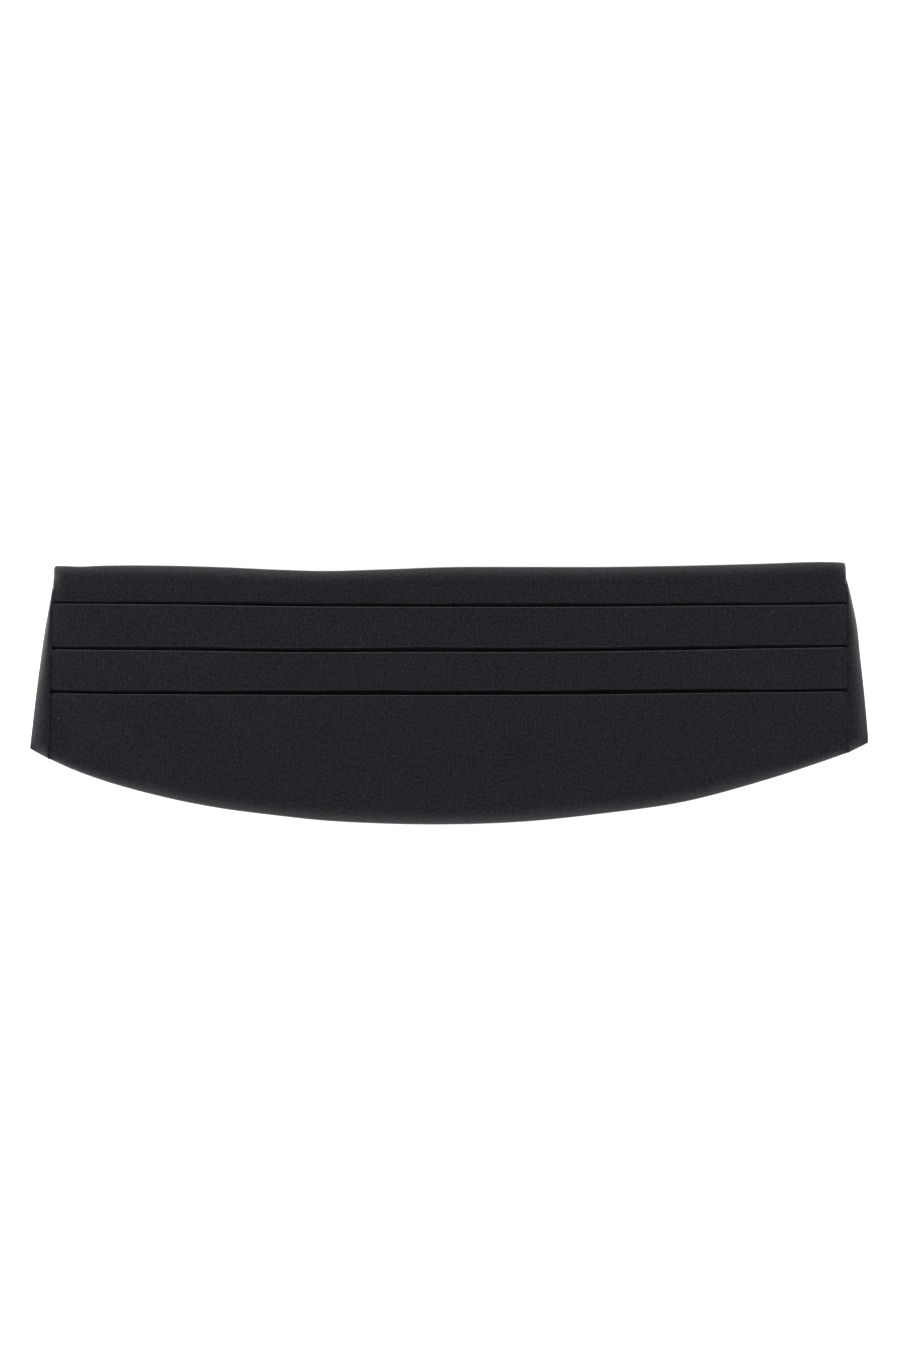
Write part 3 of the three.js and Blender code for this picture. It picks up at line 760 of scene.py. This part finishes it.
class Nodes:
    """A material's node tree, with short calls for the nodes that the finishes are made of."""

    def __init__(self, name):
        self.material = bpy.data.materials.new(name)
        self.material.use_nodes = True
        self.tree = self.material.node_tree
        self.shader = self.tree.nodes["Principled BSDF"]

    def add(self, kind, **settings):
        node = self.tree.nodes.new(kind)
        for name, value in settings.items():
            setattr(node, name, value)
        return node

    def feed(self, socket, value):
        if isinstance(value, bpy.types.NodeSocket):
            self.tree.links.new(value, socket)
        else:
            socket.default_value = value

    def math(self, operation, first, second=0.0):
        node = self.add("ShaderNodeMath", operation=operation)
        self.feed(node.inputs[0], first)
        self.feed(node.inputs[1], second)
        return node.outputs[0]

    def cloth_places(self):
        """Each point's place on the flat cloth in metres, along it and across it."""
        node = self.add("ShaderNodeUVMap", uv_map="cloth")
        split = self.add("ShaderNodeSeparateXYZ")
        self.feed(split.inputs[0], node.outputs[0])
        return node.outputs[0], split.outputs[0], split.outputs[1]

    def noise(self, vector, sizes, detail=2.0):
        """Noise from 0 to 1 with grains of some sizes, in metres, along, across and through."""
        stretch = self.add("ShaderNodeMapping", vector_type="POINT")
        self.feed(stretch.inputs["Vector"], vector)
        self.feed(stretch.inputs["Scale"], [1 / size for size in sizes])
        node = self.add("ShaderNodeTexNoise")
        self.feed(node.inputs["Vector"], stretch.outputs[0])
        self.feed(node.inputs["Scale"], 1.0)
        self.feed(node.inputs["Detail"], detail)
        return node.outputs[0]

    def specks(self, place, apart, size, share):
        """1 in small round specks and 0 elsewhere: one in a share of the cells of some size."""
        node = self.add("ShaderNodeTexVoronoi", voronoi_dimensions="2D")
        self.feed(node.inputs["Vector"], place)
        self.feed(node.inputs["Scale"], 1 / apart)
        split = self.add("ShaderNodeSeparateXYZ")
        self.feed(split.inputs[0], node.outputs["Color"])
        near = self.math("LESS_THAN", node.outputs["Distance"], size / apart / 2)
        return self.math("MULTIPLY", near, self.math("LESS_THAN", split.outputs[0], share))

    def ribs(self, place, pitch):
        """A wave from -1 to 1 that repeats every pitch metres along a place."""
        return self.math("SINE", self.math("MULTIPLY", place, 2 * math.pi / pitch))

    def blend(self, weights):
        """The sum of some values, each times its weight."""
        total = 0.0
        for value, weight in weights:
            total = self.math("ADD", total, self.math("MULTIPLY", value, weight))
        return total

    def tinted(self, color, brightness):
        """A colour times a value."""
        node = self.add("ShaderNodeVectorMath", operation="SCALE")
        node.inputs[0].default_value = color
        self.feed(node.inputs["Scale"], brightness)
        return node.outputs[0]

    def bump(self, height, distance):
        node = self.add("ShaderNodeBump")
        node.inputs["Strength"].default_value = 1.0
        node.inputs["Distance"].default_value = distance
        self.feed(node.inputs["Height"], height)
        self.feed(self.shader.inputs["Normal"], node.outputs[0])

    def finish(self, **values):
        for name, value in values.items():
            self.feed(self.shader.inputs[name.replace("_", " ")], value)
        return self.material


def wool(name, color, sheen, shade_loss, grain):
    """Matt black wool: fine steep twill, uneven yarns that run up and down, and a soft nap. Painted shade
    takes a share of its colour away, most towards the bottom of a pleat's mouth, and grain is the share
    of its unevenness that shows."""
    nodes = Nodes(name)
    place, along, up = nodes.cloth_places()
    slant = nodes.math("ADD", along, nodes.math("MULTIPLY", up, TWILL_SLANT))
    twill = nodes.ribs(slant, TWILL_PITCH)
    crossing = nodes.ribs(up, TWILL_PITCH * CROSSING_PITCH)
    yarns = nodes.noise(place, YARN_SIZE)
    picks = nodes.noise(place, PICK_SIZE)
    nap = nodes.noise(place, NAP_SIZE)
    patches = nodes.noise(place, PATCH_SIZE)
    lint = nodes.specks(place, LINT_APART, LINT_SIZE, LINT_SHARE)
    uneven = nodes.blend([
        (yarns, 2.4),
        (picks, 1.6),
        (nap, 8.0),
        (patches, 1.0),
        (twill, 0.1),
        (lint, 10.0),
    ])
    uneven = nodes.math("MULTIPLY", nodes.math("SUBTRACT", uneven, GRAIN_MEAN), grain)
    shade = nodes.math("MAXIMUM", nodes.math("ADD", uneven, 1.0), DARKEST)
    # painted shade: the colour is darkened by the amount of shade painted at each point
    shade_attribute = nodes.add("ShaderNodeAttribute", attribute_name="painted_shade").outputs["Fac"]
    left = nodes.math("SUBTRACT", 1.0, nodes.math("MULTIPLY", shade_attribute, shade_loss))
    height = nodes.blend([(twill, 0.5), (crossing, 0.2), (yarns, 1.2), (nap, 1.0), (picks, 0.5)])
    nodes.bump(height, WOOL_RELIEF)
    return nodes.finish(
        Base_Color=nodes.tinted(color, nodes.math("MULTIPLY", shade, left)),
        Roughness=0.92,
        Specular_IOR_Level=WOOL_SPECULAR,
        Sheen_Weight=sheen,
        Sheen_Roughness=WOOL_SHEEN_ROUGHNESS,
    )


def elastic():
    """Black woven elastic: cords along its length and fine threads across them."""
    nodes = Nodes("elastic")
    place, along, across = nodes.cloth_places()
    cords = nodes.math("ABSOLUTE", nodes.ribs(across, CORD_PITCH))
    threads = nodes.ribs(along, CROSS_THREAD_PITCH)
    uneven = nodes.noise(place, ELASTIC_SIZE)
    shade = nodes.blend([(cords, 0.35), (threads, 0.1), (uneven, 0.5)])
    nodes.bump(nodes.blend([(cords, 1.0), (threads, 0.3), (uneven, 0.4)]), ELASTIC_RELIEF)
    return nodes.finish(
        Base_Color=nodes.tinted(ELASTIC_COLOR, nodes.math("ADD", shade, ELASTIC_BASE)),
        Roughness=0.75,
        Specular_IOR_Level=0.3,
        Sheen_Weight=0.05,
    )


def thread():
    """Black sewing thread, a little glossier than the cloth."""
    nodes = Nodes("thread")
    _, along, across = nodes.cloth_places()
    twist = nodes.ribs(nodes.math("ADD", along, across), TWIST_PITCH)
    nodes.bump(twist, THREAD_RELIEF)
    shade = nodes.math("ADD", nodes.math("MULTIPLY", twist, THREAD_SHADE), 1.0)
    return nodes.finish(
        Base_Color=nodes.tinted(THREAD_COLOR, shade),
        Roughness=0.55,
        Specular_IOR_Level=0.4,
    )


def enamel():
    """Black enamel over metal, satin, with faint orange peel and fine wear."""
    nodes = Nodes("enamel")
    place = nodes.add("ShaderNodeTexCoord").outputs["Object"]
    peel = nodes.noise(place, PEEL_SIZE, detail=1.0)
    wear = nodes.noise(place, WEAR_SIZE, detail=4.0)
    nodes.bump(peel, ENAMEL_RELIEF)
    return nodes.finish(
        Base_Color=nodes.tinted(ENAMEL_COLOR, nodes.math("ADD", wear, ENAMEL_BASE)),
        Roughness=nodes.math("ADD", nodes.math("MULTIPLY", wear, WEAR_ROUGHNESS), ENAMEL_ROUGHNESS),
        Coat_Weight=0.4,
        Coat_Roughness=0.2,
    )


# Floor, light and camera


def floor():
    """A pale table top, wide enough to fill every view."""
    nodes = Nodes("table_top")
    place = nodes.add("ShaderNodeTexCoord").outputs["Object"]
    grain = nodes.noise(place, (FLOOR_GRAIN,) * 3)
    brightness = nodes.math("ADD", nodes.math("MULTIPLY", grain, FLOOR_UNEVEN), FLOOR_WHITE)
    material = nodes.finish(
        Base_Color=nodes.tinted((1.0, 1.0, 1.0), brightness),
        Roughness=0.9,
        Specular_IOR_Level=0.1,
        Emission_Color=(1.0, 1.0, 1.0, 1.0),
        Emission_Strength=FLOOR_GLOW,
    )
    corners = np.array([(-1, -1, 0), (1, -1, 0), (1, 1, 0), (-1, 1, 0)]) * FLOOR_HALF
    mesh = bpy.data.meshes.new("table_top")
    mesh.from_pydata(corners.tolist(), [], [(0, 1, 2, 3)])
    mesh.materials.append(material)
    made = bpy.data.objects.new("table_top", mesh)
    bpy.context.scene.collection.objects.link(made)


def sky():
    """Soft light from all round, brighter near the horizon."""
    world = bpy.data.worlds.new("soft_light")
    bpy.context.scene.world = world
    world.use_nodes = True
    tree = world.node_tree
    place = tree.nodes.new("ShaderNodeTexCoord")
    split = tree.nodes.new("ShaderNodeSeparateXYZ")
    tree.links.new(place.outputs["Generated"], split.inputs[0])
    spread = tree.nodes.new("ShaderNodeMapRange")
    spread.inputs["From Min"].default_value = 0.0
    spread.inputs["From Max"].default_value = SKY_BAND
    spread.inputs["To Min"].default_value = SKY_HORIZON
    spread.inputs["To Max"].default_value = SKY_TOP
    spread.interpolation_type = "SMOOTHSTEP"
    tree.links.new(split.outputs[2], spread.inputs["Value"])
    tree.links.new(spread.outputs[0], tree.nodes["Background"].inputs["Strength"])
    tree.nodes["Background"].inputs["Color"].default_value = (1.0, 1.0, 1.0, 1.0)


def soft_box(name, place, aim, size, power):
    """A square area light at a place, turned to a point."""
    light = bpy.data.lights.new(name, "AREA")
    light.shape = "SQUARE"
    light.size = size
    light.energy = power
    made = bpy.data.objects.new(name, light)
    made.location = place
    made.rotation_euler = (Vector(aim) - Vector(place)).to_track_quat("-Z", "Y").to_euler()
    bpy.context.scene.collection.objects.link(made)


def camera():
    """A camera straight above, at the photograph's framing."""
    made = bpy.data.objects.new("camera", bpy.data.cameras.new("camera"))
    made.data.lens = LENS
    made.data.sensor_width = SENSOR
    made.location = (*AIM, FOCUS_HEIGHT + FRAME_HEIGHT * LENS / SENSOR)
    bpy.context.scene.collection.objects.link(made)
    bpy.context.scene.camera = made


# The scene

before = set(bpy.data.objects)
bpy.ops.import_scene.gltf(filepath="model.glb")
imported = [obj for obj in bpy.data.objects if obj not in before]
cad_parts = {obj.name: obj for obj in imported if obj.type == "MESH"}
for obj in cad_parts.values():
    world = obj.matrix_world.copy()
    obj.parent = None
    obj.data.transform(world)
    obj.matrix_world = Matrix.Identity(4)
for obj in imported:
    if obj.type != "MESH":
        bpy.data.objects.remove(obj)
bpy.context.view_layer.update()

strap_boxes = [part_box("left_strap"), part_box("right_strap")]
origin = Vector((
    (strap_boxes[0][0].x + strap_boxes[1][1].x) / 2,
    strap_boxes[0][1].y + STRAP_DROP * MM,
    0.0,
))


def place_piece(piece, slot, *nodes):
    """Moves a piece's mesh to the frame's own origin, and has it ride there in place of some nodes."""
    piece.data.transform(Matrix.Translation(origin))
    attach(piece, "root")
    if nodes:
        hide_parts(*nodes)


cloth = wool("wool", WOOL_COLOR, WOOL_SHEEN, 0.0, 1.0)
# a copy of the wool with painted shade and no sheen, for pleats' mouths, the seams and the cloth under
# the front
inside = wool("wool_painted_shade", PAINTED_SHADE_COLOR, 0.0, PAINTED_SHADE_LOSS, PAINTED_SHADE_GRAIN)
band, sewing = elastic(), thread()
front, front_flat = front_panel([cloth, inside])
place_piece(front, "wool_cloth", "front_panel")
for name, side in (("left", -1), ("right", 1)):
    piece, length, width = wing(f"{name}_wing_cloth", side, [cloth, inside])
    place_piece(piece, "wool_cloth", f"{name}_wing")
    seam = stitches(f"{name}_strap_stitches", side, sewing)
    place_piece(seam, "elastic")
    piece, length = strap(f"{name}_strap_elastic", side, band)
    place_piece(piece, "elastic", f"{name}_strap")
clasp_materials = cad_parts["clasp"].data.materials
clasp_materials.clear()
clasp_materials.append(enamel())

floor()
sky()
soft_box("key", KEY_PLACE, (0.0, 0.0, 0.0), KEY_SIZE, KEY_POWER)
for side, power in zip((-1, 1), SIDE_POWER):
    soft_box("end_light", (side * SIDE_OUT, 0.0, SIDE_UP), (side * SIDE_AIM, 0.0, 0.0), SIDE_SIZE, power)
camera()
bpy.context.scene.view_settings.view_transform = "Standard"
